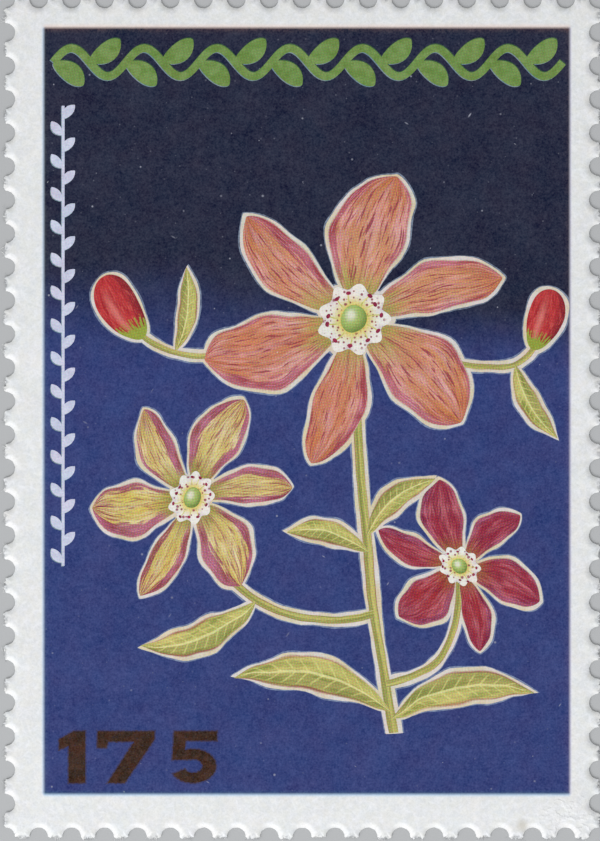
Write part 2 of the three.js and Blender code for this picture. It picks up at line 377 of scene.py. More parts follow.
def plates(plans, low, tops, spacing=row_shares):
    """Closed plates from grids of plan points (plates, rows, columns, 2), each from low up to its own top.

    shape holds each point's share of the length and of the width, and number the plate that it is on.
    """
    count, rows, columns = plans.shape[:3]
    size = rows * columns
    flat = np.repeat(plans.reshape(count, 1, size, 2), 2, axis=1)
    levels = np.stack([np.broadcast_to(tops, count), np.full(count, low)], axis=1)
    points = set_height(flat, levels[:, :, None]).reshape(-1, 3)
    index = np.arange(size).reshape(rows, columns)
    top = np.stack([index[:-1, :-1], index[1:, :-1], index[1:, 1:], index[:-1, 1:]], axis=-1).reshape(-1, 4)
    edge = np.concatenate([index[:, 0], index[-1, 1:], index[-2::-1, -1], index[0, -2:0:-1]])
    ahead = np.roll(edge, -1)
    walls = np.stack([edge + size, ahead + size, ahead, edge], axis=-1)
    plate = np.concatenate([top, top[:, ::-1] + size, walls])
    grid = np.stack(np.meshgrid(spacing(rows), even_shares(columns), indexing="ij"), axis=-1)
    shape = np.tile(grid.reshape(size, 2), (2 * count, 1))
    return Shell(points, [repeated(plate, count, 2 * size)], shape, np.repeat(np.arange(count), 2 * size))


def cut_out(outline, low, top):
    """A flat film with an anticlockwise outline (n, 2): one face on top, one below and walls between."""
    count = len(outline)
    here = np.arange(count)
    ahead = np.roll(here, -1)
    walls = np.stack([here + count, ahead + count, ahead, here], axis=-1)
    points = np.concatenate([set_height(outline, top), set_height(outline, low)])
    faces = [here[None], here[None, ::-1] + count, walls]
    return Shell(points, faces, np.zeros((2 * count, 2)), np.zeros(2 * count, int))


def grown(outline, margin):
    """An anticlockwise outline moved outwards, each corner along the sum of the normals of its two sides."""
    after = -leftward(unit(np.roll(outline, -1, axis=0) - outline))
    before = np.roll(after, 1, axis=0)
    reach = 1 + np.sum(before * after, axis=1, keepdims=True)
    return outline + margin * (before + after) / reach


def joined(*shells):
    """Several shells as one mesh, with their plates numbered on."""
    starts = np.cumsum([0] + [len(shell.points) for shell in shells])
    counts = np.cumsum([0] + [shell.number.max() + 1 for shell in shells])
    faces = [face + start for shell, start in zip(shells, starts) for face in shell.faces]
    points = np.concatenate([shell.points for shell in shells])
    shape = np.concatenate([shell.shape for shell in shells])
    number = np.concatenate([shell.number + count for shell, count in zip(shells, counts)])
    return Shell(points, faces, shape, number)


def profile(u, form):
    """Half width at u, at most 1: u^root (1 - u^tip)^round over its greatest value, with a slow wave."""
    widest = (form.root / (form.root + form.tip * form.round)) ** (1 / form.tip)
    curve = u**form.root * (1 - u**form.tip) ** form.round
    greatest = widest**form.root * (1 - widest**form.tip) ** form.round
    return curve / greatest * (1 + form.wave * np.sin(2 * np.pi * form.waves * u))


def blade_plan(spec, form, grow=0.0, rows=BLADE_ROWS):
    """Grid of a petal, leaf or bud (rows, columns, 2), grown by a margin all round.

    Its middle line leaves the straight one by 4 u (1 - u) times bend, and its half width follows the profile.
    """
    u = row_shares(rows)[:, None]
    v = np.linspace(-1, 1, BLADE_COLUMNS)
    forward = along(spec.angle)
    ahead = u * (spec.length + 2 * grow) - grow + 0 * v
    across = 4 * u * (1 - u) * spec.bend + v * (spec.half + grow) * profile(u, form)
    return np.array(spec.start) + ahead[..., None] * forward + across[..., None] * leftward(forward)


def blade_plans(specs, form, grow=0.0, rows=BLADE_ROWS):
    return np.array([blade_plan(spec, form, grow, rows) for spec in specs])


def band_plan(line, half, rows):
    """Grid of a band of even width along a line, which is a function of t from 0 to 1."""
    t = even_shares(rows)
    side = leftward(unit(line(t + TANGENT_STEP) - line(t - TANGENT_STEP)))
    v = np.linspace(-1, 1, BLADE_COLUMNS)
    return line(t)[:, None] + side[:, None] * (half * v)[:, None]


def stem_plan(spec, grow=0.0):
    """Grid of a stem along the curve (1 - t)^2 start + 2 t (1 - t) by + t^2 end."""
    start, by, end = np.array(spec.start), np.array(spec.by), np.array(spec.end)

    def line(t):
        t = t[:, None]
        return (1 - t) ** 2 * start + 2 * t * (1 - t) * by + t**2 * end

    return band_plan(line, spec.half + grow, STEM_ROWS)


def placed(plan, blossom):
    """Moves a plan from the origin to its blossom, narrowed across its lean, as if seen from the side."""
    forward = along(blossom.lean)
    turn = np.column_stack([forward, leftward(forward)])
    return plan @ turn * np.array([1, blossom.squash]) @ turn.T + np.array(blossom.at)


def petal_plans(blossom, grow=0.0):
    """Grids of a blossom's petals, narrow ones first, because the broad ones are printed over them."""
    radius = blossom.radius
    specs = []
    for i in (1, 3, 5, 0, 2, 4):
        angle = blossom.turn + 360 / PETALS * i
        start = along(angle) * PETAL_START * radius
        half = (PETAL_NARROW if i % 2 else PETAL_BROAD) * radius
        specs.append(Blade(start, angle, (1 - PETAL_START) * radius, half, PETAL_BEND * radius))
    return placed(blade_plans(specs, PETAL_FORM, grow), blossom)


def disc(blossom, share, lobes, depth, low, top, sways=DRAWN, grow=0.0):
    """A closed round film with a lobed edge: its radius is 1 + depth cos(lobes turn) times the even one.

    shape holds the flat coordinates within the disc, from 0 to 1 across it.
    """
    turn = np.linspace(0, 360, DISC_POINTS, endpoint=False)
    reach = (blossom.radius * share + grow) * (1 + depth * along(lobes * turn)[:, :1])
    heights = np.array([top] * len(DISC_FACE) + [low] * len(DISC_BACK))
    flat = np.array(DISC_FACE + DISC_BACK)[:, None, None] * (reach * along(turn))
    rings = set_height(hand_drawn(placed(flat, blossom), sways), heights[:, None])
    centre = hand_drawn(np.array([blossom.at]), sways)[0]
    shape = flat / (2 * blossom.radius * share * (1 + depth)) + 0.5
    shape = np.concatenate([shape.reshape(-1, 2), [[0.5, 0.5], [0.5, 0.5]]])
    return closed_rings(rings, [*centre, top], [*centre, low], shape, np.zeros(len(shape), int))


def greens_plans(grow=0.0):
    return np.array([stem_plan(spec, grow) for spec in STEMS]), blade_plans(LEAVES, LEAF_FORM, grow)


def stacked(base, count, first=0):
    """Tops of films that overlap, each a step above the last."""
    return base + STEP_Z * (first + np.arange(count))


def spray_backing(grow, sways, low, top):
    """The spray's silhouette grown by a margin, as overlapping films, each kind a few steps above the last.

    The three blossoms stand apart, so they share their levels.
    """
    bud_level = len(STEMS) + len(LEAVES)
    stems, leaves = greens_plans(grow)
    buds = blade_plans(BUDS.values(), BUD_FORM, grow)
    layers = [
        (stems, stacked(top, len(STEMS)), even_shares),
        (leaves, stacked(top, len(LEAVES), len(STEMS)), row_shares),
        (buds, top + STEP_Z * bud_level, row_shares),
    ]
    for blossom in BLOSSOMS:
        layers.append((petal_plans(blossom, grow), stacked(top, PETALS, bud_level + 1), row_shares))
    shells = [plates(hand_drawn(plans, sways), low, tops, spacing) for plans, tops, spacing in layers]
    above = top + STEP_Z * (bud_level + 1 + PETALS)
    for blossom in BLOSSOMS:
        shells.append(disc(blossom, EYE_SHARE, EYE_LOBES, EYE_DEPTH, low, above, sways, grow))
    return joined(*shells)


def stamens(blossom):
    """Fine filaments round the knob, each a narrow band that bends, with an oval anther across its end."""
    reach = blossom.radius * EYE_SHARE
    rng = np.random.default_rng(round(blossom.radius * 10))
    angles = 360 / STAMENS * (np.arange(STAMENS) + rng.uniform(-STAMEN_SWAY, STAMEN_SWAY, STAMENS))
    lengths = reach * rng.uniform(*THREAD_LENGTHS, STAMENS)
    threads = []
    anthers = []
    for angle, length in zip(angles, lengths):
        start = along(angle) * reach * STAMEN_START
        end = along(angle) * (reach * STAMEN_START + length)
        turn = angle + ANTHER_TURN
        back = along(turn) * reach * ANTHER_LENGTH / 2
        threads.append(Blade(start, angle, length, reach * THREAD_HALF, reach * THREAD_BEND))
        anthers.append(Blade(end - back, turn, reach * ANTHER_LENGTH, reach * ANTHER_HALF, 0))
    films = []
    for specs, form, top in ((threads, THREAD_FORM, THREAD_TOP), (anthers, ANTHER_FORM, ANTHER_TOP)):
        plans = placed(blade_plans(specs, form, rows=STAMEN_ROWS), blossom)
        films.append(plates(hand_drawn(plans, DRAWN), EYE_Z, top))
    return films


def vine(line, half, rows, leaves, low, top):
    """A band along a line with its leaves, one and two steps above it in turn, as only neighbours overlap."""
    stem = plates(band_plan(line, half, rows)[None], low, top, even_shares)
    return joined(stem, plates(leaves, low, top + STEP_Z * (1 + np.arange(len(leaves)) % 2)))


def top_vine(shift, low, top):
    """The running vine: a sine wave of seven turns with a leaf in every hollow."""
    def line(t):
        wave = TOP_VINE_HEIGHT * np.sin(2 * np.pi * TOP_VINE_WAVES * t)
        return np.stack([(t - 0.5) * TOP_VINE_LENGTH, wave], axis=1) + TOP_VINE_AT + shift

    count = 2 * TOP_VINE_WAVES
    specs = []
    for i, start in enumerate(line(np.arange(count) / count)):
        up = 1 if i % 2 else -1
        root = start + (0, up * TOP_LEAF_LIFT)
        specs.append(TOP_LEAF._replace(start=root, angle=up * TOP_LEAF.angle, bend=up * TOP_LEAF.bend))
    leaves = blade_plans(specs, VINE_LEAF_FORM, rows=VINE_LEAF_ROWS)
    return vine(line, TOP_VINE_HALF, WAVE_ROWS * TOP_VINE_WAVES + 1, leaves, low, top)


def side_vine(shift, low, top):
    """The fine upright vine: a straight band with leaves that point up, to the left and right in turn."""
    def line(t):
        return np.stack([0 * t, (t - 0.5) * SIDE_VINE_LENGTH], axis=1) + SIDE_VINE_AT + shift

    specs = []
    for i, start in enumerate(line((np.arange(SIDE_LEAVES) + SIDE_LEAF_LEAD) / SIDE_LEAVES)):
        left = -1 if i % 2 else 1
        specs.append(SIDE_LEAF._replace(start=start, angle=90 + left * SIDE_LEAF.angle))
    leaves = blade_plans(specs, FINE_LEAF_FORM, rows=FINE_LEAF_ROWS)
    return vine(line, SIDE_VINE_HALF, SIDE_VINE_ROWS, leaves, low, top)


def digit_edges(low, top):
    """The three figures grown by their soft edge, the five's bowl an arc out and an arc back in."""
    def arc(radius, first, last):
        return BOWL_AT + radius * along(np.linspace(first, last, BOWL_POINTS))

    high = DIGIT_HEIGHT
    one = [(0, 1.42), (0.3, 1.58), (0.3, 0), (0.82, 0), (0.82, high), (0.46, high), (0, 1.86)]
    leg = [(0, 1.5), (0.28, 1.5), (0.34, 1.76), (1.16, 1.76), (0.32, 0), (0.86, 0), (1.8, 1.86)]
    seven = [(0, high), *leg, (1.8, high)]
    bar = [(0.14, 0.98), (0.2, high), (1.55, high), (1.55, 1.8), (0.56, 1.8)]
    bowl = [arc(BOWL_OUT, BOWL_START, BOWL_END), arc(BOWL_IN, BOWL_END, BOWL_START)]
    films = []
    for x, outline in zip(DIGIT_X.values(), (one, seven, np.concatenate([bar, *bowl])[::-1])):
        figure = np.array(outline) * (DIGIT_STRETCH, 1) + (x, DIGIT_Y)
        films.append(cut_out(grown(figure, DIGIT_FRINGE), low, top))
    return joined(*films)


# Outline of the sheet


def tear_draws(count):
    """The torn tips' draws, from 0 to 1: each seed is the last one times a factor, modulo a divisor."""
    seed = TEAR_SEED
    values = []
    for _ in range(count):
        seed = seed * TEAR_FACTOR % TEAR_DIVISOR
        values.append(seed / TEAR_DIVISOR)
    return np.array(values)


def sheet_sides():
    """Each side's first corner, its direction, the number of its holes, their pitch and its tips' heights."""
    counts = (PITCHES_X, PITCHES_Y) * 2
    draws = tear_draws(len(TEAR_SHARES) * sum(counts)).reshape(-1, len(TEAR_SHARES))
    tips = np.split(TEAR_REACH * draws, np.cumsum(counts)[:-1])
    corners = np.array([[-1, -1], [1, -1], [1, 1], [-1, 1]]) * np.array([WIDTH, HEIGHT]) / 2
    headings = np.array([[1, 0], [0, 1], [-1, 0], [0, -1]])
    return list(zip(corners, headings, counts, (PITCH_X, PITCH_Y) * 2, tips))


def torn_profile(tips, rng):
    """Height of the torn line at its points: through the tips, with a ragged edge between the holes."""
    share = even_shares(TEAR_POINTS + 2)[1:-1]
    knots = (0, *TEAR_SHARES, 1)
    smooth = np.array([np.interp(share, knots, (0, *row, 0)) for row in tips])
    ragged = rng.normal(0, TEAR_ROUGH, smooth.shape)
    return share, smooth + ragged * np.sin(np.pi * share) ** 0.5


def sheet_outline(inset, raggedness=1.0):
    """The sheet's outline moved inwards by inset, as points (n, 2), and how torn each point is, from 0 to 1.

    A half hole is an arc of its radius plus the inset, between the two places where it meets the torn lines.
    A torn line stands out by its tips' heights less the inset.
    """
    rng = np.random.default_rng(EDGE_SEED)
    radius = HOLE_RADIUS + inset
    lift = math.asin(inset / radius)
    half_chord = math.sqrt(radius**2 - inset**2)
    plan = []
    torn = []
    for corner, heading, count, pitch, tips in sheet_sides():
        share, reach = torn_profile(tips, rng)
        arc = radius + rng.normal(0, HOLE_ROUGH, (count, ARC_POINTS)) * raggedness
        hole = np.arange(count)[:, None]
        start = np.where(hole == 0, np.pi / 2, np.pi) - lift
        turn = start + (lift - start) * even_shares(ARC_POINTS)
        tear_run = hole * pitch + half_chord + share * (pitch - 2 * half_chord)
        run = np.concatenate([hole * pitch + arc * np.cos(turn), tear_run], axis=1).ravel()
        out = np.concatenate([-arc * np.sin(turn), reach * raggedness - inset], axis=1).ravel()
        plan.append(corner + run[:, None] * heading - out[:, None] * leftward(heading))
        weight = np.broadcast_to(np.sin(np.pi * share), (count, TEAR_POINTS))
        torn.append(np.concatenate([np.zeros((count, ARC_POINTS)), weight], axis=1).ravel())
    return np.concatenate(plan), np.concatenate(torn)


def field_outline(inner):
    """The rectangle inside the margin, with a point straight inwards of each of the inner ring's points.

    Points nearer a corner than its margin is wide all meet at the rectangle's corner.
    """
    sides = sheet_sides()
    ends = np.cumsum([count for _, _, count, _, _ in sides])[:-1] * (ARC_POINTS + TEAR_POINTS)
    plan = []
    for (corner, heading, count, pitch, _), points in zip(sides, np.split(inner, ends)):
        run = np.clip((points - corner) @ heading, FIELD_INSET, count * pitch - FIELD_INSET)
        plan.append(corner + run[:, None] * heading + FIELD_INSET * leftward(heading))
    return np.concatenate(plan)


def relief(plan):
    """Height of the margin above its level: the product of two sine waves, and creases.

    A crease is a bell curve of the distance to its arc, off which it wanders, and it fades at its ends.
    """
    x, y = plan[..., 0], plan[..., 1]
    height = WAVE_HEIGHT
    for steep_x, steep_y in WAVE_STEEPS:
        height = height * np.sin(steep_x * x + steep_y * y)
    for crease in CREASES:
        turn = np.degrees(np.arctan2(y - crease.y, x - crease.x))
        wander = sum(reach * np.sin(turn / length) for reach, length in CREASE_WANDERS)
        away = np.hypot(x - crease.x, y - crease.y) - crease.radius - wander
        begun = np.clip((turn - crease.start) / CREASE_FADE, 0, 1)
        left = np.clip((crease.end - turn) / CREASE_FADE, 0, 1)
        height = height + crease.height * begun * left * np.exp(-((away / crease.width) ** 2))
    return height


def edge_roll():
    """How far the edge is rolled over at each point, up to 1, and most where it looks down the picture.

    It is the least share, plus the rest times the square of the cosine of the angle to that direction.
    That direction points to the lamp, and the paper's painted highlight on its edges follows this share too.
    """
    even = sheet_outline(ROLL_INSET, 0)[0]
    outward = -leftward(unit(np.roll(even, -2, axis=0) - np.roll(even, 2, axis=0)))
    return ROLL_LEAST + (1 - ROLL_LEAST) * np.maximum(0, outward @ along(ROLL_TOWARDS)) ** 2


def sheet_shell():
    """The paper: its face falls away round the holes and thins out to ragged tips, and its back is flat.

    shape holds how far inside the edge a point is, in millimetres up to 1, and how torn its edge is. number
    holds how far the edge there is rolled over, from 0 to 1, which also sets where the painted highlight
    lies.
    """
    edge = [sheet_outline(inset, math.exp(-inset / EDGE_FADE)) for inset in EDGE_INSETS]
    inner, torn = edge[0]
    roll = edge_roll() * (1 - TEAR_DULL * torn)
    field = field_outline(inner)
    drop = PUNCH_DROP + (TEAR_DROP - PUNCH_DROP) * torn
    rings = [(field * scale, GROUND_Z, 1) for scale in FIELD_RINGS]
    for share in np.linspace(1, 0, MARGIN_RINGS + 1)[1:-1]:
        plan = field * share + inner * (1 - share)
        rings.append((plan, GROUND_Z + relief(plan) * min(1, 3 * (1 - share)), 1))
    for (plan, _), inset in zip(edge, EDGE_INSETS):
        fall = max(0, 1 - inset / EDGE_REACH) ** 2
        rings.append((plan, GROUND_Z + relief(plan) * (1 - fall) - drop * fall, inset))
    rings.append((edge[-1][0], PAPER_Z + EDGE_LOW + TORN_LIFT * torn, 0))
    rings.append((edge[-4][0], PAPER_Z, 0.03))
    rings += [(plan, PAPER_Z, 1) for plan in (inner, field, field * 0.5)]
    points = np.array([set_height(plan, height) for plan, height, _ in rings])
    depths = np.array([depth for _, _, depth in rings])
    shape = np.stack(np.broadcast_arrays(depths[:, None], torn[None]), axis=-1).reshape(-1, 2)
    shape = np.concatenate([shape, [[1, 0], [1, 0]]])
    number = np.append(np.tile(roll, len(rings)), [0, 0])
    return closed_rings(points, [0, 0, GROUND_Z], [0, 0, PAPER_Z], shape, number)


def gum_shell():
    """The dry gum: a thin plate with the sheet's outline, a hair inside it, with its lower edge rounded."""
    outer = sheet_outline(GUM_INSET, GUM_ROUGH)[0]
    rounded = sheet_outline(GUM_INSET + GUM_ROUND, GUM_ROUGH)[0]
    field = field_outline(sheet_outline(EDGE_INSETS[0])[0])
    plans = [field * 0.5, field, outer, outer, rounded, field, field * 0.5]
    heights = [PAPER_Z, PAPER_Z, PAPER_Z, GUM_EDGE, 0, 0, 0]
    rings = np.array([set_height(plan, height) for plan, height in zip(plans, heights)])
    shape = np.concatenate([rings[..., :2].reshape(-1, 2) / WIDTH, np.zeros((2, 2))])
    return closed_rings(rings, [0, 0, PAPER_Z], [0, 0, 0], shape, np.zeros(len(shape), int))


def torn_fibres():
    """Fibres that stand out of the torn tips: fine tubes that bend one way, thinner towards the end."""
    rng = np.random.default_rng(FIBRE_SEED)
    each = (FIBRES, 1)
    share = even_shares(FIBRE_POINTS)
    plan, torn = sheet_outline(FIBRE_INSET)
    chosen = rng.choice(np.flatnonzero(torn > FIBRE_LEAST_TORN), each)
    ahead = (np.roll(plan, -3, axis=0) - np.roll(plan, 3, axis=0))[chosen]
    heading = np.arctan2(-ahead[..., 0], ahead[..., 1]) + rng.normal(0, FIBRE_SWAY, each)
    forward = along(np.degrees(heading + rng.normal(0, FIBRE_CURL, each) * share))
    length = FIBRE_SHORTEST + np.minimum(rng.exponential(FIBRE_LONGER, each), FIBRE_LONGEST_MORE)
    step = length[..., None] / (FIBRE_POINTS - 1) * forward
    line = plan[chosen] + np.cumsum(step, axis=1) - step[:, :1]
    level = rng.uniform(*FIBRE_LEVELS, each) + rng.normal(0, FIBRE_CLIMB, each) * share
    width = rng.uniform(*FIBRE_WIDTHS, each) * (1 - FIBRE_TAPER * share)
    across = width[..., None, None] * along(np.arange(FIBRE_SIDES) * 360 / FIBRE_SIDES)
    flat = line[:, :, None] + leftward(forward)[:, :, None] * across[..., :1]
    points = set_height(flat, np.maximum(level, FIBRE_LOWEST)[..., None] + across[..., 1])
    size = FIBRE_POINTS * FIBRE_SIDES
    index = np.arange(size).reshape(FIBRE_POINTS, FIBRE_SIDES)
    after = np.roll(index, -1, axis=1)
    walls = np.stack([index[:-1], index[1:], after[1:], after[:-1]], axis=-1).reshape(-1, 4)
    tube = np.concatenate([walls, [index[0, ::-1]], [index[-1]]])
    shape = np.tile(np.repeat(share, FIBRE_SIDES)[:, None], (FIBRES, 2))
    number = np.repeat(np.arange(FIBRES), size)
    return Shell(points.reshape(-1, 3), [repeated(tube, FIBRES, size)], shape, number)


# Materials: a tint is a colour written as six hexadecimal digits or a node's output


def colour(code):
    """A linear colour from an sRGB one written as six hexadecimal digits."""
    parts = [int(code[i:i + 2], 16) / 255 for i in (0, 2, 4)]
    return (*[p / 12.92 if p <= 0.04045 else ((p + 0.055) / 1.055) ** 2.4 for p in parts], 1)


def feed(socket, value):
    """Gives a socket another node's output, a colour's six digits or a plain value."""
    if isinstance(value, Value):
        socket.id_data.links.new(value.socket, socket)
    else:
        socket.default_value = colour(value) if isinstance(value, str) else value


def add_node(tree, kind, inputs=(), **settings):
    """Adds a node to a tree and gives the list of its outputs."""
    node = tree.nodes.new("ShaderNode" + kind)
    for key, value in settings.items():
        setattr(node, key, value)
    for key, value in dict(inputs).items():
        feed(node.inputs[key], value)
    return [Value(socket) for socket in node.outputs]


class Value:
    """A node's output: arithmetic on it, and each of its calls, adds a node and gives that one's output."""

    def __init__(self, socket):
        self.socket = socket

    def add(self, kind, inputs=(), **settings):
        return add_node(self.socket.id_data, kind, inputs, **settings)

    def math(self, operation, *others):
        return self.add("Math", dict(enumerate((self, *others))), operation=operation)[0]

    def __add__(self, other):
        return self.math("ADD", other)

    __radd__ = __add__

    def __sub__(self, other):
        return self.math("SUBTRACT", other)

    def __mul__(self, other):
        return self.math("MULTIPLY", other)

    def __truediv__(self, other):
        return self.math("DIVIDE", other)

    def __abs__(self):
        return self.math("ABSOLUTE")

    def ramp(self, low, high, start=0.0, end=1.0):
        """This value from low to high becomes start to end, eased at both ends."""
        inputs = {"Value": self, "From Min": low, "From Max": high, "To Min": start, "To Max": end}
        return self.add("MapRange", inputs, interpolation_type="SMOOTHSTEP")[0]

    def mix(self, first, second, blend="MIX"):
        """The first tint with this share of the second."""
        inputs = {MIX_FACTOR: self, MIX_FIRST: first, MIX_SECOND: second}
        return self.add("Mix", inputs, data_type="RGBA", blend_type=blend)[MIX_RESULT]

    def noise(self, scale, detail=2.0):
        return self.add("TexNoise", {"Vector": self, "Scale": scale, "Detail": detail})[0]

    def cells(self, scale, randomness=1.0):
        """Flat cells: the distance from the middle of the nearest one, and its three draws from 0 to 1."""
        inputs = {"Vector": self, "Scale": scale, "Randomness": randomness}
        away, cell = self.add("TexVoronoi", inputs, voronoi_dimensions="2D")[:2]
        return away, cell.split("Color")

    def split(self, kind="XYZ"):
        return self.add("Separate" + kind, {0: self})

    def vector(self, y, z):
        return self.add("CombineXYZ", {0: self, 1: y, 2: z})[0]

    def scaled(self, scale):
        return self.add("VectorMath", {0: self, 1: scale}, operation="MULTIPLY")[0]

    def turned(self, degrees):
        inputs = {"Vector": self, "Angle": math.radians(degrees)}
        return self.add("VectorRotate", inputs, rotation_type="Z_AXIS")[0]

    def shape(self):
        """The piece's own shares along and across, from its map."""
        return self.add("UVMap", uv_map="shape")[0].split()[:2]

    def number(self):
        return self.add("Attribute", attribute_name="number")[ATTRIBUTE_NUMBER]

    def group(self, name, **inputs):
        """The outputs of a node group, whose first input is this value."""
        return self.add("Group", {0: self, **inputs}, node_tree=bpy.data.node_groups[name])


def new_group(name, inputs, outputs):
    """A node group with inputs and outputs named by words: its inputs' values, then its output sockets."""
    kinds = {"Color": "NodeSocketColor", "Place": "NodeSocketVector"}
    tree = bpy.data.node_groups.new(name, "ShaderNodeTree")
    for way, labels in (("INPUT", inputs), ("OUTPUT", outputs)):
        for label in labels.split():
            kind = kinds.get(label, "NodeSocketFloat")
            tree.interface.new_socket(name=label, in_out=way, socket_type=kind)
    given = [Value(socket) for socket in tree.nodes.new("NodeGroupInput").outputs]
    return *given[:-1], tree.nodes.new("NodeGroupOutput").inputs


def by_channel(tint, settings, change):
    """A colour whose red, green and blue are each changed by a function, with a setting of its own."""
    changed = [change(channel, setting) for channel, setting in zip(tint.split("Color"), settings)]
    return tint.add("CombineColor", dict(enumerate(changed)))[0]


def make_screen_group():
    """Halftone: each of red, green and blue becomes dots of its own screen angle, mixed in by a strength."""
    tint, place, strength, result = new_group("halftone_screen", "Color Place Strength", "Color")
    wave = 2 * math.pi / SCREEN_PITCH

    def dotted(channel, angle):
        x, y, _ = place.turned(angle).scaled((wave, wave, 1)).split()
        screen = (x.math("COSINE") + y.math("COSINE")) * 0.25 + 0.5
        light = screen.ramp(channel - 0.2, channel + 0.2, 1.0, 0.0)
        return (light - channel) * strength + channel

    feed(result["Color"], by_channel(tint, (15, 75, 0), dotted))


def make_grain_group():
    """Uneven printing: fine grain, coarser grain and slow clouds of lightness, and a cast from blue to red.

    The lightness both scales the colour and adds to it, so that it shows as well on dark ink as on pale.
    """
    tint, place, grain, cast, result = new_group("print_grain", "Color Place Grain Cast", "Color")
    layers = ((13.0, 1.0, 1.35), (4.5, 2.0, 0.7), (0.6, 2.0, 0.6))
    rough = sum((place.noise(scale, detail) - 0.5) * share for scale, detail, share in layers) * grain
    lift = rough * 0.094
    shade = (place.scaled((1, -1, 1)).noise(1.0, 3.0) - 0.5) * cast

    def uneven(channel, share):
        return channel * (shade * share + 1 + rough) + lift

    feed(result["Color"], by_channel(tint, (1.0, -0.6, -0.5), uneven))


def make_dust_group():
    """Pale specks of dust: small round spots in a few of the cells of a coarse pattern."""
    place, spread, share, size, result = new_group("dust_specks", "Place Spread Share Size", "Mask")
    coarse = place.add("VectorMath", {0: place, 1: spread}, operation="DIVIDE")[0]
    away, draws = coarse.cells(1.0)
    edge = size * (draws[1] * 0.9 + 0.3) / spread
    kept = draws[0].math("LESS_THAN", share)
    feed(result["Mask"], away.ramp(edge, edge * 0.2) * kept * (draws[2] * 0.7 + 0.3))


def make_blue_group():
    """The panel's blue: deep above, clear below, meeting in a soft belt, wider and higher to the left."""
    place, result = new_group("panel_blue", "Place", "Color")
    x, y, _ = place.split()
    level = y - x.ramp(-8.0, 5.0, 4.6, 3.4) + (place.noise(0.22, 3.0) * 2.0 - 1.0)
    share = (level / x.ramp(-7.0, 7.0, 2.6, 1.6)).ramp(-1.0, 1.0)
    blue = printed(share.mix("354179", "252940"), place, 0.35, 0.43, 0.012)
    dust = specks(place, 1.9, 0.45, 0.062).math("MAXIMUM", specks(place, 0.6, 0.45, 0.048) * 0.26)
    for angle in (35, 120):
        stretched = place.turned(angle).scaled((1, 0.28, 1))
        dust = dust.math("MAXIMUM", specks(stretched, 2.2, 0.35, 0.04))
    feed(result["Color"], (dust * share.ramp(0.0, 1.0, 0.5, 0.68)).mix(blue, "b9bccb"))


def make_fibre_group():
    """Paper: a tone that varies over soft matted fibres and slow clouds, and the height of their felt."""
    place, result = new_group("paper_fibres", "Place", "Tone Height")
    layers = [place.turned(angle).scaled((2.5, 7.0, 4.0)).noise(1.0) for angle in (20, 75, 140)]
    felt = layers[0].math("MAXIMUM", layers[1].math("MAXIMUM", layers[2]))
    feed(result["Tone"], felt.ramp(0.45, 0.75) + (place.noise(1.1, 3.0) - 0.5))
    feed(result["Height"], place.noise(9.0) * 0.3 + felt)


def make_stroke_group():
    """Coloured pencil along a petal: soft strokes, crisp broken lines and a slow wash, each from 0 to 1."""
    u, v, seed, count, result = new_group("pencil_strokes", "Along Across Seed Count", "Soft Lines Wash")
    apart = seed * 7.31
    far = apart + 3.7
    across = v + (u.vector(v, apart).noise(2.0) * 0.16 - 0.08)
    soft = (u * 4.0).vector(across * (count * 0.5), apart).noise(1.0, 3.0)
    lines = (u * 7.0).vector(across * count, far).noise(1.0)
    wash = (u * 2.2).vector(across, far).noise(1.6)
    feed(result["Soft"], soft.ramp(0.36, 0.64))
    feed(result["Lines"], lines.ramp(0.55, 0.66))
    feed(result["Wash"], wash.ramp(0.35, 0.65))


def printed(tint, place, grain, cast, strength):
    """A tint with the print's grain and its screen."""
    rough = tint.group("print_grain", Place=place, Grain=grain, Cast=cast)[0]
    return rough.group("halftone_screen", Place=place, Strength=strength)[0]


def specks(place, spread, share, size):
    return place.group("dust_specks", Spread=spread, Share=share, Size=size)[0]


def strokes(u, across, number, count):
    return u.group("pencil_strokes", Across=across, Seed=number, Count=count)


def paint(tint, *coats):
    """A tint under several others, laid on one after another, each by its own share."""
    for share, coat in coats:
        tint = share.mix(tint, coat)
    return tint


def clouded(place, first, second, scale=4.0, detail=2.0, low=0.35, high=0.65):
    """Two tints in soft clouds."""
    return place.noise(scale, detail).ramp(low, high).mix(first, second)


def away_from(x, y, at):
    """Distance in the plane from a point."""
    dx = x - at[0]
    dy = y - at[1]
    return (dx * dx + dy * dy).math("SQRT")


def level_lines(place, pitch, most):
    """Fine level screen lines, as a share up to the most."""
    return (place.split()[1] * (2 * math.pi / pitch)).math("SINE").ramp(0.0, 1.0, 0.0, most)


def new_material(name, roughness, specular):
    """A material and its shader's sockets."""
    material = bpy.data.materials.new(name)
    material.use_nodes = True
    sockets = material.node_tree.nodes["Principled BSDF"].inputs
    sockets["Roughness"].default_value = roughness
    sockets["Specular IOR Level"].default_value = specular
    return material, sockets


def stamp_place(material):
    """Place in the stamp's own frame, in millimetres."""
    return add_node(material.node_tree, "TexCoord")[OBJECT_PLACE].scaled((1 / MM, 1 / MM, 1 / MM))


def felt_bump(sockets, place, strength, form=None):
    """Puts the fibres' felt into the bump, over a coarser form in whole millimetres if there is one."""
    _, height = place.group("paper_fibres")
    inputs = {"Height": height, "Strength": strength, "Distance": 0.008 * MM}
    if form:
        inputs["Normal"] = place.add("Bump", {"Height": form, "Distance": MM})[0]
    feed(sockets["Normal"], place.add("Bump", inputs)[0])


def film(name, felt, recipe, *details, roughness=0.55, specular=0.12):
    """A material in the tint that a recipe makes of the place, with the paper's felt in its bump."""
    material, sockets = new_material(name, roughness, specular)
    place = stamp_place(material)
    feed(sockets["Base Color"], recipe(place, *details))
    felt_bump(sockets, place, felt)
    return material


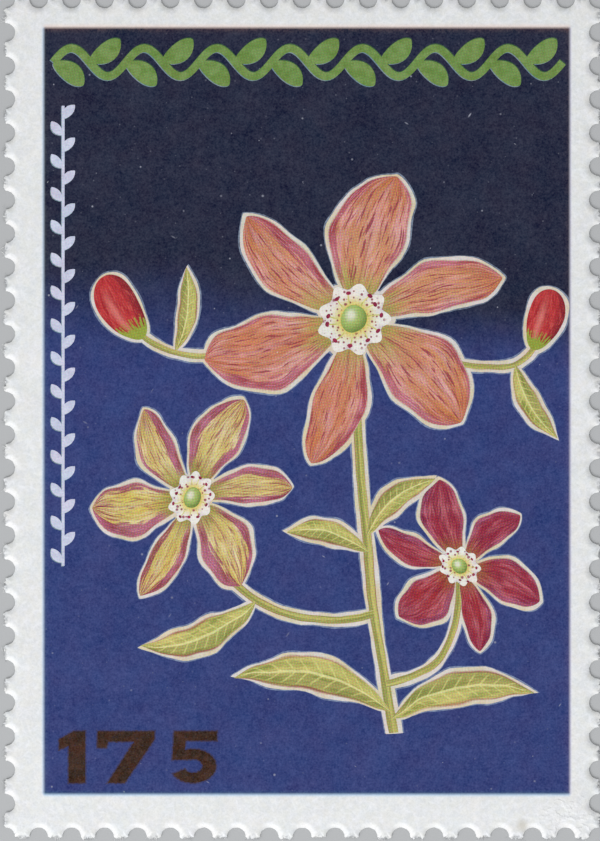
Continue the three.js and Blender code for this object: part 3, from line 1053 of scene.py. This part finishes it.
def ink(name, strength, recipe, *details, grain=0.22, dust=True, specular=0.15):
    """A printed ink: a recipe's tint with the print's grain, its screen and a few specks of dust."""
    def whole(place):
        tint = printed(recipe(place, *details), place, grain, 0.18, strength)
        if dust:
            tint = (specks(place, 1.5, 0.3, 0.04) * 0.6).mix(tint, "e8e8ea")
        return tint

    return film(name, 0.35, whole, specular=specular)


def panel_edge(x, y, tint, blue):
    """A tint under a soft strip of colour at each of the panel's edges, and under its soft-edged blue."""
    across = abs(x - PANEL_X).ramp(PANEL_WIDTH / 2 + INK_SPREAD, PANEL_WIDTH / 2 - INK_SPREAD)
    down = abs(y - PANEL_Y).ramp(PANEL_HEIGHT / 2 + INK_SPREAD, PANEL_HEIGHT / 2 - INK_SPREAD)
    fringes = (
        (y, PANEL_TOP, across, "f2ded6", 0.22, 0.8),
        (y, PANEL_BOTTOM, across, "b8d8f4", 0.16, 0.8),
        (x, PANEL_RIGHT, down, "d5d2ee", 0.12, 0.6),
        (x, PANEL_LEFT, down, "bcd6f2", 0.14, 0.7),
    )
    for axis, edge, within, code, width, strength in fringes:
        tint = (abs(axis - edge).ramp(width, 0.0) * within * strength).mix(tint, code)
    return (across * down).mix(tint, blue)


def paper_material():
    """White paper: soft fibres, fringes beside the panel, a crumpled corner and rounded and torn edges, with
    painted light on them.
    """
    material, sockets = new_material("stamp_paper", 0.8, 0.2)
    place = stamp_place(material)
    x, y, _ = place.split()
    depth, torn = place.shape()
    roll = place.number()
    tone, _ = place.group("paper_fibres")
    white = place.noise(3.5, 3.0).ramp(0.35, 0.65, 0.0, 0.4).mix(tone.mix("e2e5e8", "edeff3"), "eae9e1")
    ridges = abs(place.noise(1.7, 3.0) - 0.5)
    spoilt = away_from(x, y, CRUMPLED_AT).ramp(CRUMPLED_REACH, 0.3)
    folds = ridges.ramp(0.09, 0.0) * spoilt
    near = (depth * (-1 / EDGE_REACH) + 1.0).math("MAXIMUM", 0.0)
    # painted shade on the torn tips: grey mottling where they wrinkle, and darker patches between their
    # fibres
    ruffled = depth.ramp(0.36, 0.04) * torn.ramp(0.2, 0.9)
    frayed_tip_shade = depth.ramp(0.12, 0.0) * torn.ramp(0.1, 0.9)
    tint = paint(
        panel_edge(x, y, white, place.group("panel_blue")[0]),
        # painted highlight: whiter paper beside the folds of the crumpled corner
        (ridges.ramp(0.13, 0.03, 0.0, 0.5) * spoilt, "f7f8fa"),
        # painted shade: grey along the folds of the crumpled corner
        (folds * 0.08, "b4b8bc"),
        (away_from(x, y, SMUDGE_AT).ramp(0.4, 0.05) * 0.6, "c4bfb2"),
        # painted highlight: near white on the rounded edges round the holes, strongest where they face the
        # lamp
        (roll.ramp(0.4, 0.75) * near.ramp(0.0, 0.8) * 0.55, "fcfcfd"),
        # painted shade: grey mottling where the torn tips wrinkle
        (ruffled * place.noise(4.5, 3.0).ramp(0.42, 0.62, 0.0, 0.4), "aeb1b4"),
        # painted shade: darker patches between the fibres at the torn edge
        (frayed_tip_shade * place.noise(9.0, 3.0).ramp(0.42, 0.6) * 0.75, "8d9094"),
    )
    feed(sockets["Base Color"], tint.group("print_grain", Place=place, Grain=0.14, Cast=0.04)[0])
    felt_bump(sockets, place, 0.35, folds * 0.02 + near * near * (roll * -EDGE_ROUND))
    return material


def gum_material():
    """Dry gum: a slightly yellow gloss with fine brushed lines and a broken sheen."""
    material, sockets = new_material("dry_gum", 0.3, 0.5)
    place = stamp_place(material)
    brushed = place.scaled((0.3, 7.0, 1.0)).noise(1.0, 4.0)
    cracks = place.add("TexVoronoi", {"Vector": place, "Scale": 2.2}, feature="DISTANCE_TO_EDGE")[0]
    tint = brushed.ramp(0.35, 0.65).mix("ddd3b6", "ebe5d2")
    feed(sockets["Base Color"], cracks.ramp(0.03, 0.0, 0.0, 0.25).mix(tint, "c9bd9a"))
    feed(sockets["Roughness"], brushed.ramp(0.3, 0.7, 0.24, 0.42))
    height = brushed + cracks.ramp(0.05, 0.0, 0.0, -0.6)
    feed(sockets["Normal"], place.add("Bump", {"Height": height, "Distance": 0.004 * MM})[0])
    return material


def ground_tint(place):
    """The blue panel, whose inks miss each other by a hair: a faint lighter strip inside each edge."""
    x, y, _ = place.split()
    blue = place.group("panel_blue")[0]
    strips = (
        (x, PANEL_RIGHT, -0.36, "ac7c3c"),
        (x, PANEL_LEFT, 0.3, "86973c"),
        (y, PANEL_TOP, -0.38, "d8a83a"),
        (y, PANEL_BOTTOM, 0.22, "46a830"),
    )
    for axis, edge, width, code in strips:
        blue = axis.ramp(edge + width, edge).mix(blue, code, "DODGE")
    return panel_edge(x, y, "e8e9eb", blue)


def fringe_tint(place, code, patches, least, most):
    """An ink's soft edge: patches so thin that the panel shows through, by a share from least to most."""
    return place.noise(patches).ramp(0.3, 0.7, least, most).mix(place.group("panel_blue")[0], code)


Drawing = namedtuple("Drawing", "root body other tip light line edge gleam band veins streaks")
DRAWINGS = {
    "upper": Drawing(
        "b3ab5c", "c98460", "cf9a70", "c8824e", "e4b2b0", "93344a", "962f46", "da9aa8", 0.2, 0.85, 0.4
    ),
    "left": Drawing(
        "9e9a48", "d0bd62", "cfbe7a", "d8c672", "ece0b4", "8a2350", "862147", "cf88a8", 0.38, 0.65, 1.0
    ),
    "right": Drawing(
        "a4603c", "a22c34", "982a44", "942640", "cf7a84", "6c1b38", "741c40", "c67692", 0.22, 0.6, 0.4
    ),
}


def soft_side(across, start):
    """The rim's colour in the last hair of a petal or leaf, from start to its side, where the inks blur."""
    return abs(across).ramp(start, 1.0, 0.0, 0.7), "d6c9b4"


def petal_tint(place, drawing):
    """A petal in coloured pencil: strokes, broken veins, streaks from its tip and a dark band by its edges.

    Each petal has its own tone, and leans to one side, where the band is wide.
    """
    u, v = place.shape()
    across = v * 2.0 - 1.0
    number = place.number()
    draws = place.add("TexWhiteNoise", {"W": number}, noise_dimensions="1D")[1]
    tone, lean, _ = draws.split("Color")
    out = abs(across + (lean * 0.6 - 0.3))
    soft, lines, wash = strokes(u, across, number, 17.0)
    fine_soft, fine_lines, fine_wash = strokes(u, across, number, 34.0)
    reach = soft * -0.16 + u
    start = soft * 0.22 + (0.86 - drawing.band)
    band = out.ramp(start, start + 0.1) * u.ramp(0.1, 0.3)
    return paint(
        reach.ramp(0.02, 0.32).mix(drawing.root, tone.mix(drawing.body, drawing.other)),
        (u.ramp(0.55, 1.0), drawing.tip),
        (wash * u.ramp(0.1, 0.4, 0.25, 0.75) * soft, drawing.light),
        (out.ramp(0.3, 0.0) * u.ramp(0.3, 0.6, 0.0, 0.5) * fine_soft, drawing.light),
        (fine_soft * 0.2, drawing.line),
        (lines * u.ramp(0.06, 0.25) * drawing.veins, drawing.line),
        (fine_soft * reach.ramp(0.5, 0.95, 0.0, drawing.streaks), drawing.edge),
        (band * 0.85, drawing.edge),
        (band * fine_wash * 0.4, drawing.gleam),
        (fine_lines * out.ramp(0.35, 0.9, 0.0, 0.7), drawing.gleam),
        (u.ramp(0.24, 0.04) * 0.55 * soft, "6d6f25"),
        (out.ramp(0.07, 0.0) * u.ramp(0.85, 0.3) * 0.4, drawing.line),
        soft_side(across, 0.95),
    )


def leaf_tint(place):
    """A leaf or stem: olive to yellow-green, side veins that lean forward, a pale rib and a red edge."""
    u, v = place.shape()
    across = v * 2.0 - 1.0
    out = abs(across)
    number = place.number()
    soft, _, wash = strokes(u, across, number, 14.0)
    comb = ((out * -0.1 + u) * (2 * math.pi * 11)).math("COSINE")
    is_leaf = number.math("GREATER_THAN", len(STEMS) - 0.5)
    return paint(
        soft.mix("8c9148", "b8b466"),
        (wash * 0.6, "d4c880"),
        (across.ramp(-0.1, 0.25) * 0.4, "6f733a"),
        (comb.ramp(0.75, 0.98) * out.ramp(0.9, 0.5) * is_leaf * 0.5, "dcd98b"),
        (out.ramp(0.12, 0.03) * is_leaf * 0.75, "e3dfa0"),
        (out.ramp(soft * 0.2 + 0.68, 0.97) * u.ramp(0.1, 0.5, 0.2, 0.8), "98334c"),
        soft_side(across, 0.88),
    )


def bud_tint(place):
    """A bud: red with long pink highlights, dark down one side, in a green cup at its root."""
    u, v = place.shape()
    across = v * 2.0 - 1.0
    soft, lines, _ = strokes(u, across, place.number(), 13.0)
    cup = soft * 0.16 + 0.12
    return paint(
        soft.mix("a4262f", "bd3a3c"),
        (abs(across - 0.3).ramp(0.34, 0.0) * 0.6 * u.ramp(0.95, 0.5), "e48d84"),
        (across.ramp(-0.35, -1.0) * 0.75, "6f1626"),
        (lines * 0.45, "d9685f"),
        (u.ramp(cup + 0.05, cup), "94a03f"),
    )


def eye_tint(place):
    """The pale ruffled middle: yellow towards the knob, white at the lobes, with crimson spots all over."""
    x, y = place.shape()
    radius = away_from(x, y, (0.5, 0.5)) * 2
    folds = ((y - 0.5).math("ARCTAN2", x - 0.5) * EYE_LOBES).math("COSINE")
    away, draws = place.cells(4.2, 0.8)
    size = draws[0] * 0.22 + 0.14
    where = radius.ramp(0.92, 0.78) * radius.ramp(0.34, 0.46)
    return paint(
        radius.ramp(0.3, 0.75).mix("d8c45c", "e9e6df"),
        (folds.ramp(0.2, -1.0) * radius.ramp(0.5, 0.95, 0.0, 0.55), "b9a3b4"),
        (away.ramp(size, size * 0.55) * where * 0.85, "8f2748"),
    )


def knob_tint(place):
    """The green knob: a cream light at its upper left and a dark lower right edge, under fine level lines."""
    away = away_from(*place.shape(), (0.4, 0.64))
    return paint(
        away.ramp(0.04, 0.34).mix("e3e3cd", "a6bb6b"),
        (away.ramp(0.3, 0.66, 0.0, 0.85), "65803a"),
        (level_lines(place, 0.12, 0.14), "5c7431"),
    )


def vine_tint(place, low, high, line):
    """An ornament's ink, with faint level screen lines."""
    return level_lines(place, 0.13, 0.2).mix(clouded(place, low, high, 3.0, 3.0), line)


def number_tint(place):
    """The brown number: blue and orange grains of the inks beneath show through it."""
    return paint(
        clouded(place, "322218", "43291e", 3.5),
        (place.noise(15.0, 1.0).ramp(0.6, 0.7) * 0.25, "6b4d30"),
        (place.scaled((1, 1, 3)).noise(11.0, 1.0).ramp(0.62, 0.72) * 0.25, "343555"),
    )


# Pieces


def weld(mesh):
    """Makes one point of those that share a place, where many of a ring's points meet at a corner."""
    shape = bmesh.new()
    shape.from_mesh(mesh)
    bmesh.ops.remove_doubles(shape, verts=shape.verts, dist=WELD_REACH * MM)
    shape.to_mesh(mesh)
    shape.free()


def new_object(name, data):
    thing = bpy.data.objects.new(name, data)
    bpy.context.scene.collection.objects.link(thing)
    return thing


def add_piece(name, shell, material, node=None):
    """Makes an object from a shell, with its map and plate numbers, riding on the stamp's one body."""
    mesh = bpy.data.meshes.new(name)
    faces = [face for block in shell.faces for face in block.tolist()]
    mesh.from_pydata((shell.points * MM).tolist(), [], faces)
    corners = np.empty(len(mesh.loops), int)
    mesh.loops.foreach_get("vertex_index", corners)
    mesh.uv_layers.new(name="shape").uv.foreach_set("vector", shell.shape[corners].astype(np.float32).ravel())
    mesh.attributes.new("number", "FLOAT", "POINT").data.foreach_set("value", shell.number.astype(np.float32))
    mesh.materials.append(material)
    mesh.polygons.foreach_set("use_smooth", np.ones(len(mesh.polygons), bool))
    mesh.set_sharp_from_angle(angle=math.radians(SHARP_ANGLE))
    piece = new_object(name, mesh)
    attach(piece, "root")
    if node:
        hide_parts(node)
    return piece


def add_sheet():
    sheet = add_piece("paper_with_torn_edge", sheet_shell(), paper_material(), "paper_sheet")
    gum = add_piece("gum_coat", gum_shell(), gum_material(), "gum_layer")
    weld(sheet.data)
    weld(gum.data)
    fibres = film("torn_fibres", 0.4, clouded, "9c9fa3", "f2f2f2", 2.0, roughness=0.85, specular=0.15)
    add_piece("fibres_at_torn_edge", torn_fibres(), fibres)


def add_spray():
    """The spray from the back to the face: its soft fringe, its cream rim, the greens, blossoms and buds."""
    fringe = spray_backing(RIM_SHOWN + FRINGE, FRINGED, FILM_LOW, FRINGE_TOP)
    fringe.points[:, 0] = np.minimum(fringe.points[:, 0], PANEL_RIGHT - PANEL_GAP)
    thin = film("fringe_ink", 0.3, fringe_tint, "a3b4cc", 6.0, 0.25, 0.6)
    add_piece("spray_soft_fringe", fringe, thin)
    rim = spray_backing(RIM_SHOWN, RIMMED, FILM_LOW, RIM_TOP)
    cream = ink("spray_rim_ink", 0.08, clouded, "d8d3d1", "d6c9aa", 0.7, 2.0, 0.3, 0.7)
    add_piece("spray_rim", rim, cream, "ink_spray_rim")
    stems, leaves = [hand_drawn(plans, DRAWN) for plans in greens_plans()]
    stem_shell = plates(stems, GREEN_LOW, stacked(STEM_TOP, len(STEMS)), even_shares)
    greens = joined(stem_shell, plates(leaves, GREEN_LOW, stacked(LEAF_TOP, len(LEAVES))))
    green = ink("leaf_ink", 0.12, leaf_tint)
    add_piece("stems_and_leaves", greens, green, "ink_stems_and_leaves")
    eye = ink("spotted_eye_ink", 0.12, eye_tint)
    knob = ink("knob_ink", 0.1, knob_tint, dust=False)
    thread = ink("filament_ink", 0.05, clouded, "d9d48a", "c2bf66", dust=False)
    anther = ink("anther_ink", 0.05, clouded, "7e1d3d", "9c2f4f", dust=False)
    for blossom in BLOSSOMS:
        add_blossom(blossom, eye, knob, thread, anther)
    bud = ink("bud_ink", 0.1, bud_tint)
    for name, spec in BUDS.items():
        shell = plates(hand_drawn(blade_plans([spec], BUD_FORM), DRAWN), GREEN_Z, PETAL_TOP)
        add_piece(f"bud_{name}", shell, bud, f"ink_bud_{name}")


def add_blossom(blossom, eye, knob, thread, anther):
    name = blossom.name
    petals = plates(hand_drawn(petal_plans(blossom), DRAWN), GREEN_Z, stacked(PETAL_TOP, PETALS))
    pencil = ink(f"petal_ink_{name}", 0.15, petal_tint, DRAWINGS[name])
    add_piece(f"petals_{name}", petals, pencil, f"ink_petals_{name}")
    middle = disc(blossom, EYE_SHARE, EYE_LOBES, EYE_DEPTH, GREEN_Z, EYE_Z + INK_THICK)
    add_piece(f"eye_{name}", middle, eye, f"ink_eye_{name}")
    threads, anthers = stamens(blossom)
    add_piece(f"filaments_{name}", threads, thread)
    add_piece(f"anthers_{name}", anthers, anther)
    ball = disc(blossom, KNOB_SHARE, 0, 0, EYE_Z, TOP_Z)
    add_piece(f"knob_{name}", ball, knob, f"ink_knob_{name}")


def add_ornament():
    """The two vines, printed in inks that miss each other by a hair, and the number's soft edge."""
    pale_ghost = ink("pale_shifted_ink", 0.05, clouded, "6d8a98", "87999f", dust=False)
    dark_ghost = ink("dark_shifted_ink", 0.05, clouded, "31503a", "3c5c40", dust=False)
    green = ink("top_vine_ink", 0.07, vine_tint, "6c8b44", "7c9857", "668a48")
    pale = ink("side_vine_ink", 0.07, vine_tint, "c6cae0", "d0d4e8", "bcc2e0")
    add_piece("top_vine_shifted", top_vine(PALE_SHIFT, FILM_LOW, PALE_TOP), pale_ghost)
    add_piece("top_vine_shifted_dark", top_vine(DARK_SHIFT, FILM_LOW, DARK_TOP), dark_ghost)
    add_piece("top_vine", top_vine((0, 0), FILM_LOW, VINE_TOP), green, "ink_top_vine")
    add_piece("side_vine_shifted", side_vine(PALE_SHIFT, FILM_LOW, PALE_TOP), pale_ghost)
    add_piece("side_vine", side_vine((0, 0), FILM_LOW, VINE_TOP), pale, "ink_side_vine")
    soft = film("number_soft_ink", 0.3, fringe_tint, "43302c", 9.0, 0.15, 0.8)
    add_piece("number_soft_edge", digit_edges(FILM_LOW, PALE_TOP - STEP_Z), soft)


def dress_nodes():
    """Gives the solids that stay in view their own finish."""
    number = ink("number_ink", 0.03, number_tint, grain=0.3, dust=False, specular=0.12)
    finishes = {f"ink_digit_{name}": number for name in DIGIT_X}
    finishes["ink_ground"] = film("panel_ground_ink", 0.3, ground_tint)
    for node, material in finishes.items():
        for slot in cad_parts[node].material_slots:
            slot.material = material


# Stage, camera and light


def add_floor():
    half = FLOOR_SIZE / 2 * MM
    corners = [(-half, -half), (half, -half), (half, half), (-half, half)]
    mesh = bpy.data.meshes.new("floor")
    mesh.from_pydata([(x, y, -FLOOR_DROP * MM) for x, y in corners], [], [(0, 1, 2, 3)])
    material, sockets = new_material("pale_card", 0.9, 0.1)
    feed(sockets["Base Color"], "b9bbbd")
    mesh.materials.append(material)
    new_object("floor", mesh)


def add_camera():
    camera = new_object("camera", bpy.data.cameras.new("camera"))
    camera.data.lens = LENS
    camera.data.sensor_width = SENSOR
    camera.data.clip_start = MM
    height = FRAME_HEIGHT * LENS / SENSOR + GROUND_Z
    camera.location = (FRAME_X * MM, FRAME_Y * MM, height * MM)
    bpy.context.scene.camera = camera


def add_light():
    world = bpy.data.worlds.new("pale_room")
    world.use_nodes = True
    world.node_tree.nodes["Background"].inputs["Strength"].default_value = ROOM_STRENGTH
    world.node_tree.nodes["Background"].inputs["Color"].default_value = (1, 1, 1, 1)
    bpy.context.scene.world = world
    lamp = new_object("lamp", bpy.data.lights.new("lamp", "AREA"))
    lamp.data.size = LAMP_SIZE * MM
    lamp.data.energy = LAMP_POWER
    lamp.location = np.array(LAMP_AT) * MM
    lamp.rotation_euler = (-lamp.location).to_track_quat("-Z", "Y").to_euler()
    bpy.context.scene.view_settings.view_transform = "Standard"


make_screen_group()
make_grain_group()
make_dust_group()
make_blue_group()
make_fibre_group()
make_stroke_group()
add_floor()
add_camera()
add_light()
add_sheet()
add_spray()
add_ornament()
dress_nodes()
